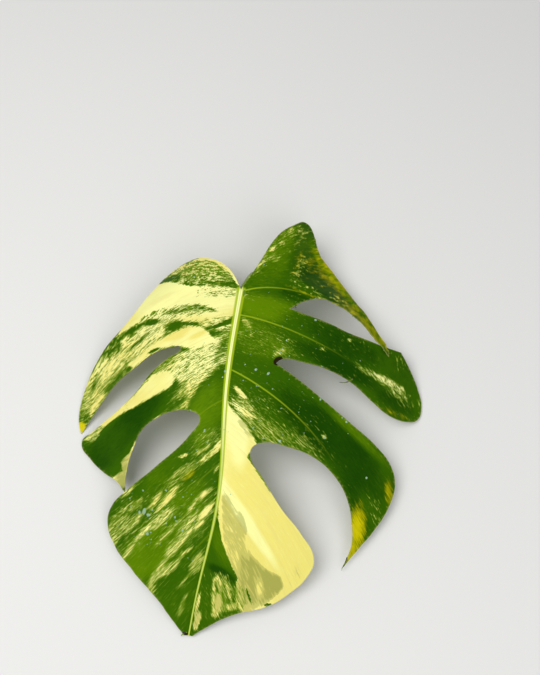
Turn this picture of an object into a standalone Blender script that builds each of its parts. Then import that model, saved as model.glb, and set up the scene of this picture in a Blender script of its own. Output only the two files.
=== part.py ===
"""Monstera leaf, picked with a short stalk and lying face up on a flat surface.

Metres, +Z up. The leaf tip points along -Y and the surface is at Z = 0. The leaf
is drawn flat in millimetres, with the notch where the stalk joins it at (0, 0),
and is then bent into its arched, drooping form.
"""
import math

import bmesh
import bpy
from mathutils import Vector

MM = 0.001

# Driving dimensions of the blade, in millimetres.
BLADE_LENGTH = 232.0        # notch to tip, along the midrib
BLADE_THICKNESS = 0.8
NOTCH_HEIGHT = 50.0         # top of the blade above the surface at the notch
TIP_DROP = 63.0             # how far the midrib falls from the notch to the tip
MIDRIB_RISE = 14.0          # first climb of the midrib past the notch
MIDRIB_SWAY = 8.0           # sideways bow of the midrib
SWAY_CENTRE = -145.0
SWAY_LENGTH = 58.0
BACK_DROP = 60.0            # fall of the two base lobes behind the notch
LEFT_DROP, LEFT_SPAN, LEFT_POWER = 42.0, 95.0, 1.7
RIGHT_DROP, RIGHT_SPAN, RIGHT_POWER = 46.0, 135.0, 1.8
TOUCH_HEIGHT = 0.95         # top of the blade where it touches the surface
TOUCH_SOFTNESS = 6.0        # height over which the blade eases onto the surface
GRID = 7.0                  # spacing of the bending points
OUTLINE_STEPS = 4           # straight pieces in each outline curve

# The slits between the lobes, nearest the notch first: where each one ends inside
# the blade, its slope across the flat blade and the lobe on its notch side.
SLITS = {
    "left": [
        {"end": (-34, -47), "slope": 0.98, "reach": 0, "above": "left_1"},
        {"end": (-13, -97), "slope": 1.02, "reach": 0, "above": "left_2"},
    ],
    "right": [
        {"end": (36, -8.7), "slope": -0.07, "reach": 112, "above": "right_1"},
        {"end": (32, -50), "slope": -0.32, "reach": 150, "above": "right_2"},
        {"end": (25, -112), "slope": -0.92, "reach": 150, "above": "right_3"},
    ],
}

# Margins that roll down: a line through a point, square to a heading in degrees,
# the fall at a distance beyond it, and the sideways stretch over which it sets in.
ROLLS = {
    "left_1": {"point": (-40, 2), "heading": 130, "reach": 24, "drop": 13, "start": 5, "full": 20},
    "left_2": {"point": (-38, -92), "heading": -38, "reach": 25, "drop": 10, "start": 18, "full": 50},
    "right_2": {"point": (96, -40), "heading": -10, "reach": 40, "drop": 3, "start": 90, "full": 96},
    "right_3": {"point": (85, -110), "heading": -70, "reach": 60, "drop": 5, "start": 40, "full": 60},
}

# The first right lobe: its back and front ridges, how steeply it hangs beyond
# them, and the hooked end that lies over the next lobe.
SADDLE_BACK = 30.0
SADDLE_FRONT, SADDLE_SLOPE = 31.0, 0.42
SADDLE_STEEPNESS, SADDLE_ROUND = 1.1, 6.0
HOOK_START, HOOK_FULL = 86.0, 108.0
HOOK_SHIFT = (1.0, -12.0)
HOOK_LIFT = 4.5

# Driving dimensions of the stalk, in millimetres.
STALK_RADIUS = 3.7
STALK_LOW = 3.3             # height of its centre line where it lies on the surface
STALK_ROUNDNESS = 4         # steps in each quarter of its section
STALK_STEPS = 3             # straight pieces between the points of its path

# Outline of the flat blade: points that a smooth curve passes through, from the
# notch down the left side to the tip and back up the right side. Corners are
# the notch, the lobe tips and the sharp slit ends.
CORNER = True
OUTLINE = [
    # first left lobe
    (0, 0, CORNER), (-11, 15), (-25, 23), (-41, 26), (-55, 18), (-66, 1),
    (-80, -25), (-96, -48), (-104, -78), (-104, -97), (-100, -108, CORNER),
    (-91, -91), (-79, -73), (-66, -61), (-54, -51), (-43, -47),
    # first left slit, second left lobe
    (-35, -47), (-43, -55), (-53, -65), (-62, -79), (-74, -92), (-91, -106),
    (-98, -113), (-88, -126), (-75, -135), (-65, -140), (-59, -146, CORNER),
    (-59, -132), (-57, -120), (-52, -105), (-43, -97), (-32, -92), (-21, -91),
    # second left slit, left half of the end of the blade
    (-13, -95), (-17, -106), (-39, -130), (-56, -145), (-66, -156),
    (-67, -168), (-59, -182), (-43, -197), (-23, -213), (-8, -227),
    # blade tip and the right half of the end of the blade
    (-2, -232, CORNER), (3, -232, CORNER), (12, -225), (28, -215), (48, -207),
    (62, -197), (74, -182), (76, -172), (65, -158), (50, -145), (35, -128),
    # third right slit, third right lobe
    (25, -116), (25, -110), (33, -105), (48, -105), (66, -108), (82, -117),
    (93, -130), (99, -147), (100, -160), (96, -174, CORNER), (105, -160),
    (115, -145), (123, -127), (125, -112), (120, -100), (108, -90), (88, -79),
    (64, -66), (45, -56),
    # second right slit, second right lobe
    (32, -50, CORNER), (36, -46), (50, -45), (68, -46), (86, -51), (102, -60),
    (115, -66), (129, -66), (137, -62), (139, -52), (135, -40), (127, -27),
    (119, -17, CORNER), (105, -17), (92, -16), (79, -15), (65, -12), (51, -10),
    # first right slit, first right lobe
    (36, -8, CORNER), (41, -3), (48, 2), (58, 6), (66, 5), (75, 3), (84, -2),
    (92, -6), (104, -8), (109, -13, CORNER), (108, -6), (97, 0), (84, 12),
    (73, 25), (61, 37), (51, 45), (46, 53), (44, 62), (38, 67), (30, 61),
    (22, 53), (16, 42), (9, 22),
]

# Centre line of the stalk: from under the notch round a tight neck, down to the
# surface and along it below the blade.
STALK_PATH = [
    (0.5, -7, 45.4), (2, 0, 45.2), (5, 9, 43.5), (7, 16, 37), (8, 18, 28),
    (8, 14, 18), (8, 3, 10), (8, -14, 5.2), (8, -34, STALK_LOW), (8, -60, STALK_LOW),
    (9, -90, STALK_LOW), (10, -118, STALK_LOW),
]


def smooth(low, high, value):
    """Ease from 0 at low to 1 at high."""
    t = min(max((value - low) / (high - low), 0.0), 1.0)
    return t * t * (3.0 - 2.0 * t)


def midrib_x(y):
    """Sideways place of the midrib."""
    return MIDRIB_SWAY * math.exp(-((y - SWAY_CENTRE) / SWAY_LENGTH) ** 2)


def midrib_z(y):
    """Height of the blade along the midrib."""
    along = -y / BLADE_LENGTH
    if along < 0.0:
        return NOTCH_HEIGHT + MIDRIB_RISE * along - BACK_DROP * along ** 2
    return NOTCH_HEIGHT + MIDRIB_RISE * along - TIP_DROP * along ** 2.6


def side_drop(across):
    """How far the blade falls at a distance from the midrib."""
    if across < 0.0:
        return LEFT_DROP * (-across / LEFT_SPAN) ** LEFT_POWER
    return RIGHT_DROP * (across / RIGHT_SPAN) ** RIGHT_POWER


def roll(x, y, margin):
    """Fall of a lobe's margin beyond a line."""
    angle = math.radians(margin["heading"])
    out_x, out_y = x - margin["point"][0], y - margin["point"][1]
    beyond = out_x * math.cos(angle) + out_y * math.sin(angle)
    return margin["drop"] * (max(beyond, 0.0) / margin["reach"]) ** 2


def above_slit(x, y, slit):
    """True on the side of a slit that is nearer the notch."""
    return y > slit["end"][1] + (x - slit["end"][0]) * slit["slope"]


def lobe_of(x, y):
    """Name of the lobe that a point of the flat blade lies in."""
    side = "left" if x < midrib_x(y) else "right"
    for slit in SLITS[side]:
        if x < slit["reach"] and above_slit(x, y, slit):
            return slit["above"]
    return side + "_end"


def lobe_drop(x, y):
    """Extra fall of each lobe towards its end and its rolled margin."""
    lobe = lobe_of(x, y)
    if lobe == "right_1":
        return saddle_drop(x, y)
    if lobe not in ROLLS:
        return 0.0
    margin = ROLLS[lobe]
    return roll(x, y, margin) * smooth(margin["start"], margin["full"], abs(x))


def saddle_drop(x, y):
    """The first right lobe bends over two ridges and hangs down steeply beyond them."""
    past_back = x - SADDLE_BACK
    past_front = (y - SADDLE_FRONT + SADDLE_SLOPE * x) / math.hypot(1.0, SADDLE_SLOPE)
    lift = HOOK_LIFT * smooth(HOOK_START, HOOK_FULL, x)
    if past_back <= 0.0 or past_front <= 0.0:
        return -lift
    beyond = (past_back ** -2 + past_front ** -2) ** -0.5
    return SADDLE_STEEPNESS * beyond ** 2 / (beyond + SADDLE_ROUND) - lift


def ease_down(height):
    """Let the blade settle onto the surface without passing through it."""
    above = height - TOUCH_HEIGHT
    if above <= -TOUCH_SOFTNESS:
        return TOUCH_HEIGHT
    if above >= TOUCH_SOFTNESS:
        return height
    return TOUCH_HEIGHT + (above + TOUCH_SOFTNESS) ** 2 / (4.0 * TOUCH_SOFTNESS)


def bend(x, y):
    """Place of a point of the flat blade once the leaf has its form, in millimetres."""
    height = midrib_z(y) - side_drop(x - midrib_x(y)) - lobe_drop(x, y)
    hook = smooth(HOOK_START, HOOK_FULL, x) if lobe_of(x, y) == "right_1" else 0.0
    return x + HOOK_SHIFT[0] * hook, y + HOOK_SHIFT[1] * hook, ease_down(height)


def new_material(name, colour, roughness):
    """Plain surface finish."""
    material = bpy.data.materials.new(name)
    material.use_nodes = True
    shader = material.node_tree.nodes["Principled BSDF"]
    shader.inputs["Base Color"].default_value = (*colour, 1.0)
    shader.inputs["Roughness"].default_value = roughness
    shader.inputs["Metallic"].default_value = 0.0
    return material


def clear_scene():
    """Remove the objects that the file starts with."""
    for item in list(bpy.data.objects):
        bpy.data.objects.remove(item, do_unlink=True)


def mesh_of(item):
    """Evaluated mesh of a curve, in world space; the curve is removed."""
    graph = bpy.context.evaluated_depsgraph_get()
    mesh = bpy.data.meshes.new_from_object(item.evaluated_get(graph))
    mesh.transform(item.matrix_world)
    bpy.data.objects.remove(item, do_unlink=True)
    return mesh


def outline_curve():
    """Closed flat curve through the outline's points, filled."""
    curve = bpy.data.curves.new("outline", "CURVE")
    curve.dimensions = "2D"
    curve.fill_mode = "BOTH"
    curve.resolution_u = OUTLINE_STEPS
    spline = curve.splines.new("BEZIER")
    spline.bezier_points.add(len(OUTLINE) - 1)
    for knot, place in zip(spline.bezier_points, OUTLINE):
        kind = "VECTOR" if len(place) == 3 else "AUTO"
        knot.co = (place[0], place[1], 0.0)
        knot.handle_left_type = kind
        knot.handle_right_type = kind
    spline.use_cyclic_u = True
    item = bpy.data.objects.new("outline", curve)
    bpy.context.collection.objects.link(item)
    bpy.context.view_layer.update()
    return item


def cut_grid(shape, axis, low, high):
    """Cut a flat face along evenly spaced lines square to an axis."""
    normal = Vector((1, 0, 0)) if axis == 0 else Vector((0, 1, 0))
    place = math.ceil(low / GRID) * GRID
    while place < high:
        pieces = shape.verts[:] + shape.edges[:] + shape.faces[:]
        bmesh.ops.bisect_plane(shape, geom=pieces, dist=0.01, plane_co=normal * place, plane_no=normal)
        place += GRID


def flat_blade():
    """The flat outline as a bmesh of small faces that can bend."""
    shape = bmesh.new()
    shape.from_mesh(mesh_of(outline_curve()))
    bmesh.ops.remove_doubles(shape, verts=shape.verts[:], dist=0.01)
    bmesh.ops.dissolve_faces(shape, faces=shape.faces[:])
    for axis in (0, 1):
        places = [vert.co[axis] for vert in shape.verts]
        cut_grid(shape, axis, min(places), max(places))
    bmesh.ops.triangulate(shape, faces=shape.faces[:])
    bmesh.ops.recalc_face_normals(shape, faces=shape.faces[:])
    if sum(face.normal.z for face in shape.faces) < 0.0:
        bmesh.ops.reverse_faces(shape, faces=shape.faces[:])
    return shape


def new_piece(collection, name, shape, material):
    """Turn a bmesh into a named object with its material."""
    mesh = bpy.data.meshes.new(name)
    shape.to_mesh(mesh)
    shape.free()
    mesh.materials.append(material)
    piece = bpy.data.objects.new(name, mesh)
    collection.objects.link(piece)
    return piece


def build_blade(collection):
    """The blade: the flat outline, bent to its form and given its thickness."""
    shape = flat_blade()
    for vert in shape.verts:
        vert.co = Vector(bend(vert.co.x, vert.co.y)) * MM
    green = new_material("green_leaf", (0.09, 0.22, 0.01), 0.4)
    blade = new_piece(collection, "leaf_blade", shape, green)
    wall = blade.modifiers.new("wall", "SOLIDIFY")
    wall.thickness = BLADE_THICKNESS * MM
    wall.offset = -1.0
    return blade


def stalk_curve():
    """Round rod along the stalk's path, with closed ends."""
    curve = bpy.data.curves.new("stalk", "CURVE")
    curve.dimensions = "3D"
    curve.bevel_depth = STALK_RADIUS
    curve.bevel_resolution = STALK_ROUNDNESS
    curve.use_fill_caps = True
    curve.resolution_u = STALK_STEPS
    spline = curve.splines.new("BEZIER")
    spline.bezier_points.add(len(STALK_PATH) - 1)
    for knot, place in zip(spline.bezier_points, STALK_PATH):
        knot.co = place
        knot.handle_left_type = "AUTO"
        knot.handle_right_type = "AUTO"
    item = bpy.data.objects.new("stalk", curve)
    bpy.context.collection.objects.link(item)
    bpy.context.view_layer.update()
    return item


def build_stalk(collection):
    """The stalk: a round rod, cut flat along the line that it rests on."""
    shape = bmesh.new()
    shape.from_mesh(mesh_of(stalk_curve()))
    bmesh.ops.remove_doubles(shape, verts=shape.verts[:], dist=0.01)
    pieces = shape.verts[:] + shape.edges[:] + shape.faces[:]
    cut = bmesh.ops.bisect_plane(
        shape, geom=pieces, dist=0.001, plane_co=(0, 0, 0), plane_no=(0, 0, -1), clear_outer=True
    )
    rim = [part for part in cut["geom_cut"] if isinstance(part, bmesh.types.BMEdge)]
    bmesh.ops.holes_fill(shape, edges=rim)
    bmesh.ops.scale(shape, vec=(MM, MM, MM), verts=shape.verts[:])
    bmesh.ops.recalc_face_normals(shape, faces=shape.faces[:])
    green = new_material("green_stalk", (0.16, 0.26, 0.03), 0.45)
    return new_piece(collection, "petiole", shape, green)


def centre(blade, stalk):
    """Put the origin at the middle of the leaf's footprint."""
    bpy.context.view_layer.update()
    corners = [Vector(corner) for piece in (blade, stalk) for corner in piece.bound_box]
    for axis in (0, 1):
        places = [corner[axis] for corner in corners]
        for piece in (blade, stalk):
            piece.location[axis] = -0.5 * (min(places) + max(places))


def main():
    """Build the leaf."""
    clear_scene()
    collection = bpy.data.collections.new("monstera_leaf")
    bpy.context.scene.collection.children.link(collection)
    centre(build_blade(collection), build_stalk(collection))


main()
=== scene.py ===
"""Monstera leaf: the finished look of one variegated leaf lying on a pale floor.

The leaf is drawn flat in millimetres, with the notch where the stalk joins it at
(0, 0) and the tip towards -Y, and is then bent into its arched, drooping form.
"""
import math
import random

import bmesh
import bpy
import numpy as np
from bpy.props import FloatProperty, FloatVectorProperty, IntProperty, PointerProperty
from mathutils import Matrix, Vector


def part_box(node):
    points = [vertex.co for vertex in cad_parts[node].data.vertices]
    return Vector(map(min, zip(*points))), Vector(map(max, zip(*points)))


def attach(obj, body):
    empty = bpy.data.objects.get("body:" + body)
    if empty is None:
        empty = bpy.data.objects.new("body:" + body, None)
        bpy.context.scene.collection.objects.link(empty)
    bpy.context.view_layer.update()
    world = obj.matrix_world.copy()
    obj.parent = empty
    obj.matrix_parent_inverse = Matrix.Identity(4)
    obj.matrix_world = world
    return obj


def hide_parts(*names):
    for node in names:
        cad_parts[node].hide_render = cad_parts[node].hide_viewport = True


bl_info = {
    "name": "Monstera leaf",
    "version": (1, 0, 0),
    "blender": (4, 5, 0),
    "location": "3D View > Sidebar > Leaf",
    "description": "Builds a variegated split leaf with its stalk, water drops and studio stage",
    "category": "Object",
}

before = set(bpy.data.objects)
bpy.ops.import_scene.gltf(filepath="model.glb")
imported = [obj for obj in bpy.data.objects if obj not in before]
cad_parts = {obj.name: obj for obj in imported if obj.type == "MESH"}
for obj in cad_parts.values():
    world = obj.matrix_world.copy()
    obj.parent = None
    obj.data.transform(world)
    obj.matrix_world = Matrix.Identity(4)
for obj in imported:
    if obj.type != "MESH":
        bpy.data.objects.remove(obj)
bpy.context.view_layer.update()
BLADE_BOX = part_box("leaf_blade")
MM = 0.001

# --------------------------------------------------------------------------
# Form of the leaf, in millimetres: the same as the frame's
# --------------------------------------------------------------------------
BLADE_LENGTH = 232.0        # notch to tip, along the midrib
LEFT_EXTENT = 104.84        # notch to the far side of the first left lobe
NOTCH_HEIGHT = 50.0         # top of the blade above the surface at the notch
TIP_DROP = 63.0             # how far the midrib falls from the notch to the tip
MIDRIB_RISE = 14.0          # first climb of the midrib past the notch
MIDRIB_SWAY = 8.0           # sideways bow of the midrib
SWAY_CENTRE = -145.0
SWAY_LENGTH = 58.0
BACK_DROP = 60.0            # fall of the two base lobes behind the notch
LEFT_DROP, LEFT_SPAN, LEFT_POWER = 42.0, 95.0, 1.7
RIGHT_DROP, RIGHT_SPAN, RIGHT_POWER = 46.0, 135.0, 1.8
TOUCH_HEIGHT = 0.95         # top of the blade where it touches the surface
TOUCH_SOFTNESS = 6.0        # height over which the blade eases onto the surface

CORNER = True
OUTLINE = [
    # first left lobe
    (0, 0, CORNER), (-11, 15), (-25, 23), (-41, 26), (-55, 18), (-66, 1),
    (-80, -25), (-96, -48), (-104, -78), (-104, -97), (-100, -108, CORNER),
    (-91, -91), (-79, -73), (-66, -61), (-54, -51), (-43, -47),
    # first left slit, second left lobe
    (-35, -47), (-43, -55), (-53, -65), (-62, -79), (-74, -92), (-91, -106),
    (-98, -113), (-88, -126), (-75, -135), (-65, -140), (-59, -146, CORNER),
    (-59, -132), (-57, -120), (-52, -105), (-43, -97), (-32, -92), (-21, -91),
    # second left slit, left half of the end of the blade
    (-13, -95), (-17, -106), (-39, -130), (-56, -145), (-66, -156),
    (-67, -168), (-59, -182), (-43, -197), (-23, -213), (-8, -227),
    # blade tip and the right half of the end of the blade
    (-2, -232, CORNER), (3, -232, CORNER), (12, -225), (28, -215), (48, -207),
    (62, -197), (74, -182), (76, -172), (65, -158), (50, -145), (35, -128),
    # third right slit, third right lobe
    (25, -116), (25, -110), (33, -105), (48, -105), (66, -108), (82, -117),
    (93, -130), (99, -147), (100, -160), (96, -174, CORNER), (105, -160),
    (115, -145), (123, -127), (125, -112), (120, -100), (108, -90), (88, -79),
    (64, -66), (45, -56),
    # second right slit, second right lobe
    (32, -50, CORNER), (36, -46), (50, -45), (68, -46), (86, -51), (102, -60),
    (115, -66), (129, -66), (137, -62), (139, -52), (135, -40), (127, -27),
    (119, -17, CORNER), (105, -17), (92, -16), (79, -15), (65, -12), (51, -10),
    # first right slit, first right lobe
    (36, -8, CORNER), (41, -3), (48, 2), (58, 6), (66, 5), (75, 3), (84, -2),
    (92, -6), (104, -8), (109, -13, CORNER), (108, -6), (97, 0), (84, 12),
    (73, 25), (61, 37), (51, 45), (46, 53), (44, 62), (38, 67), (30, 61),
    (22, 53), (16, 42), (9, 22),
]

# The slits between the lobes, nearest the notch first: where each one ends inside
# the blade, its slope across the flat blade and the lobe on its notch side.
SLITS = {
    "left": [
        {"end": (-34, -47), "slope": 0.98, "reach": 0, "above": "left_1"},
        {"end": (-13, -97), "slope": 1.02, "reach": 0, "above": "left_2"},
    ],
    "right": [
        {"end": (36, -8.7), "slope": -0.07, "reach": 112, "above": "right_1"},
        {"end": (32, -50), "slope": -0.32, "reach": 150, "above": "right_2"},
        {"end": (25, -112), "slope": -0.92, "reach": 150, "above": "right_3"},
    ],
}

# Margins that roll down: a line through a point, square to a heading in degrees,
# the fall at a distance beyond it, and the sideways stretch over which it sets in.
ROLLS = {
    "left_1": {"point": (-40, 2), "heading": 130, "reach": 24, "drop": 13, "start": 5, "full": 20},
    "left_2": {"point": (-38, -92), "heading": -38, "reach": 25, "drop": 10, "start": 18, "full": 50},
    "right_2": {"point": (96, -40), "heading": -10, "reach": 40, "drop": 3, "start": 90, "full": 96},
    "right_3": {"point": (85, -110), "heading": -70, "reach": 60, "drop": 5, "start": 40, "full": 60},
}

# The first right lobe: its back and front ridges, how steeply it hangs beyond
# them, and the hooked end that lies over the next lobe.
SADDLE_BACK = 30.0
SADDLE_FRONT, SADDLE_SLOPE = 31.0, 0.42
SADDLE_STEEPNESS, SADDLE_ROUND = 1.1, 6.0
HOOK_START, HOOK_FULL = 86.0, 108.0
HOOK_SHIFT = (1.0, -12.0)
HOOK_LIFT = 4.5

# Line along the first right lobe's rolled margin, and the roll's height and half width.
CURL = [(44.5, 56), (49.5, 44), (60, 35.5), (71.5, 23.5), (82, 11), (92, 2.5), (104, -4)]
CURL_HEIGHT, CURL_WIDTH = 1.7, 2.4

# Centre line of the stalk, as in the frame.
STALK_LOW = 3.3
STALK_CLEARANCE = 0.15       # lowest points of the finished stalk above the floor
STALK_PATH = [
    (0.5, -7, 45.4), (2, 0, 45.2), (5, 9, 43.5), (7, 16, 37), (8, 18, 28),
    (8, 14, 18), (8, 3, 10), (8, -14, 5.2), (8, -34, STALK_LOW), (8, -60, STALK_LOW),
    (9, -90, STALK_LOW), (10, -118, STALK_LOW),
]

# Main side veins: root on the midrib, a point that bends the vein, and its end.
SIDE_VEINS = [
    ((0, -2), (-62, 6), (-101, -103)),
    ((0, -34), (-44, -46), (-80, -122)),
    ((3, -80), (-28, -98), (-60, -168)),
    ((7, -122), (-16, -142), (-42, -192)),
    ((6, -168), (-8, -184), (-20, -212)),
    ((1, -1), (38, 18), (106, -9)),
    ((2, -19), (62, -22), (134, -56)),
    ((4, -60), (80, -86), (107, -150)),
    ((6, -92), (17, -102), (23, -110)),
    ((9, -134), (34, -154), (62, -196)),
    ((6, -172), (20, -190), (32, -212)),
]


def smooth(low, high, value):
    """Ease from 0 at low to 1 at high."""
    t = np.clip((value - low) / (high - low), 0.0, 1.0)
    return t * t * (3.0 - 2.0 * t)


def midrib_x(y):
    """Sideways place of the midrib."""
    return MIDRIB_SWAY * np.exp(-((y - SWAY_CENTRE) / SWAY_LENGTH) ** 2)


def midrib_z(y):
    """Height of the blade along the midrib."""
    along = -y / BLADE_LENGTH
    back = BACK_DROP * np.minimum(along, 0.0) ** 2
    front = TIP_DROP * np.maximum(along, 0.0) ** 2.6
    return NOTCH_HEIGHT + MIDRIB_RISE * along - back - front


def side_drop(across):
    """How far the blade falls at a distance from the midrib."""
    left = LEFT_DROP * (np.maximum(-across, 0.0) / LEFT_SPAN) ** LEFT_POWER
    return left + RIGHT_DROP * (np.maximum(across, 0.0) / RIGHT_SPAN) ** RIGHT_POWER


def lobe_masks(x, y):
    """For each lobe, which points of the flat blade lie in it."""
    masks = {}
    for side, free in (("left", x < midrib_x(y)), ("right", x >= midrib_x(y))):
        for slit in SLITS[side]:
            above = y > slit["end"][1] + (x - slit["end"][0]) * slit["slope"]
            masks[slit["above"]] = free & above & (x < slit["reach"])
            free = free & ~masks[slit["above"]]
        masks[side + "_end"] = free
    return masks


def roll(x, y, margin):
    """Fall of a lobe's margin beyond a line."""
    angle = math.radians(margin["heading"])
    out_x, out_y = x - margin["point"][0], y - margin["point"][1]
    beyond = np.maximum(out_x * math.cos(angle) + out_y * math.sin(angle), 0.0)
    fall = margin["drop"] * (beyond / margin["reach"]) ** 2
    return fall * smooth(margin["start"], margin["full"], np.abs(x))


def saddle_drop(x, y):
    """The first right lobe bends over two ridges and hangs down steeply beyond them."""
    past_back = np.maximum(x - SADDLE_BACK, 1e-6)
    past_front = (y - SADDLE_FRONT + SADDLE_SLOPE * x) / math.hypot(1.0, SADDLE_SLOPE)
    past_front = np.maximum(past_front, 1e-6)
    beyond = (past_back ** -2 + past_front ** -2) ** -0.5
    fall = SADDLE_STEEPNESS * beyond ** 2 / (beyond + SADDLE_ROUND)
    return fall - HOOK_LIFT * smooth(HOOK_START, HOOK_FULL, x)


def ease_down(height):
    """Let the blade settle onto the surface without passing through it."""
    above = np.clip(height - TOUCH_HEIGHT, -TOUCH_SOFTNESS, TOUCH_SOFTNESS)
    eased = TOUCH_HEIGHT + (above + TOUCH_SOFTNESS) ** 2 / (4.0 * TOUCH_SOFTNESS)
    return np.where(height - TOUCH_HEIGHT >= TOUCH_SOFTNESS, height, eased)


def bend(x, y, masks):
    """Places of points of the flat blade once the leaf has its form, in millimetres."""
    drop = np.where(masks["right_1"], saddle_drop(x, y), 0.0)
    for lobe, margin in ROLLS.items():
        drop += np.where(masks[lobe], roll(x, y, margin), 0.0)
    height = midrib_z(y) - side_drop(x - midrib_x(y)) - drop
    hook = np.where(masks["right_1"], smooth(HOOK_START, HOOK_FULL, x), 0.0)
    return np.stack([x + HOOK_SHIFT[0] * hook, y + HOOK_SHIFT[1] * hook, ease_down(height)], -1)


def bend_with_normals(x, y):
    """Bent places of the blade's points, and the way its upper face looks there."""
    masks = lobe_masks(x, y)
    step = 0.5
    along_x = bend(x + step, y, masks) - bend(x - step, y, masks)
    along_y = bend(x, y + step, masks) - bend(x, y - step, masks)
    normals = np.cross(along_x, along_y)
    normals /= np.linalg.norm(normals, axis=1)[:, None]
    return bend(x, y, masks), normals


def leaf_origin():
    """Place of the leaf's notch in the frame, in millimetres."""
    low = BLADE_BOX[0]
    return np.array([low[0] / MM + LEFT_EXTENT, low[1] / MM + BLADE_LENGTH, 0.0])


# --------------------------------------------------------------------------
# Veins
# --------------------------------------------------------------------------
VEIN_STEPS = 24


def vein_points(vein):
    """Points along a side vein, evenly spaced in its curve."""
    root, middle, end = (np.array(place, float) for place in vein)
    t = np.linspace(0.0, 1.0, VEIN_STEPS + 1)[:, None]
    return (1 - t) ** 2 * root + 2 * t * (1 - t) * middle + t ** 2 * end


def side_vein_field(x, y):
    """Distance to the nearest side vein, the side of it, and how far along it, 0 to 1."""
    nearest = np.full(x.shape, 1e9)
    side = np.ones(x.shape)
    along = np.zeros(x.shape)
    for vein in SIDE_VEINS:
        points = vein_points(vein)
        for step, (a, b) in enumerate(zip(points[:-1], points[1:])):
            run = b - a
            out_x, out_y = x - a[0], y - a[1]
            t = np.clip((out_x * run[0] + out_y * run[1]) / (run @ run), 0.0, 1.0)
            gap = np.hypot(out_x - t * run[0], out_y - t * run[1])
            closer = gap < nearest
            nearest = np.where(closer, gap, nearest)
            side = np.where(closer, np.sign(run[0] * out_y - run[1] * out_x), side)
            along = np.where(closer, (step + t) / VEIN_STEPS, along)
    return nearest, side, along


# Fine veins: their slope where they leave the midrib, how they curl towards the tip
# (on the left, less so near the tip), and how they fan out.
LEFT_SLOPE, LEFT_CURL, LEFT_CURL_LOSS = 0.05, 0.0063, 0.0050
RIGHT_SLOPE, RIGHT_CURL = -0.12, 0.0040
BACK_FAN, LEFT_FAN, RIGHT_FAN = 0.05, 0.0078, 0.0066


def flow(x, y):
    """Coordinates that run along the fine veins (first) and across them (second)."""
    across = x - midrib_x(y)
    span = np.abs(across)
    curl = LEFT_CURL - LEFT_CURL_LOSS * smooth(-70.0, -150.0, y)
    left = y + LEFT_SLOPE * span + curl * span ** 2
    right = y + RIGHT_SLOPE * span + RIGHT_CURL * span ** 2
    left /= 1.0 + np.where(left > 0.0, BACK_FAN, LEFT_FAN) * span
    right /= 1.0 + np.where(right > 0.0, BACK_FAN, RIGHT_FAN) * span
    return across, np.where(across < 0.0, left, right)


# --------------------------------------------------------------------------
# Painted fields: patches that are laid over each other, each with a value
# --------------------------------------------------------------------------
def line_gap(x, y, points):
    """Distance to a line through points."""
    gap = np.full(x.shape, 1e9)
    for a, b in zip(points, points[1:]):
        run = np.array(b, float) - np.array(a, float)
        t = np.clip(((x - a[0]) * run[0] + (y - a[1]) * run[1]) / (run @ run), 0.0, 1.0)
        gap = np.minimum(gap, np.hypot(x - a[0] - t * run[0], y - a[1] - t * run[1]))
    return gap


def oval(x, y, place, length, width, angle, soft=0.5):
    """Cover of an oval patch, 1 inside and 0 outside, with a soft edge."""
    turn = math.radians(angle)
    out_x, out_y = x - place[0], y - place[1]
    along = (out_x * math.cos(turn) + out_y * math.sin(turn)) / length
    beside = (out_y * math.cos(turn) - out_x * math.sin(turn)) / width
    return 1.0 - smooth(1.0 - soft, 1.0 + soft, np.hypot(along, beside))


def region(x, y, points, soft=1.5):
    """Cover of a patch with straight sides, 1 inside and 0 outside, with a soft edge."""
    inside = np.zeros(x.shape, bool)
    for a, b in zip(points, points[1:] + points[:1]):
        if a[1] != b[1]:
            crosses = (a[1] > y) != (b[1] > y)
            inside ^= crosses & (x < a[0] + (y - a[1]) * (b[0] - a[0]) / (b[1] - a[1]))
    gap = line_gap(x, y, points + points[:1])
    return smooth(-soft, soft, np.where(inside, gap, -gap))


def paint(x, y, base, patches):
    """Lay patches over a base value in turn: ovals as (place, length, width, angle), else regions."""
    field = np.full(x.shape, base, float)
    for value, shape, *soft in patches:
        if isinstance(shape[1], tuple):
            cover = region(x, y, list(shape), *soft)
        else:
            cover = oval(x, y, *shape, *soft)
        field += (value - field) * cover
    return field


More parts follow.
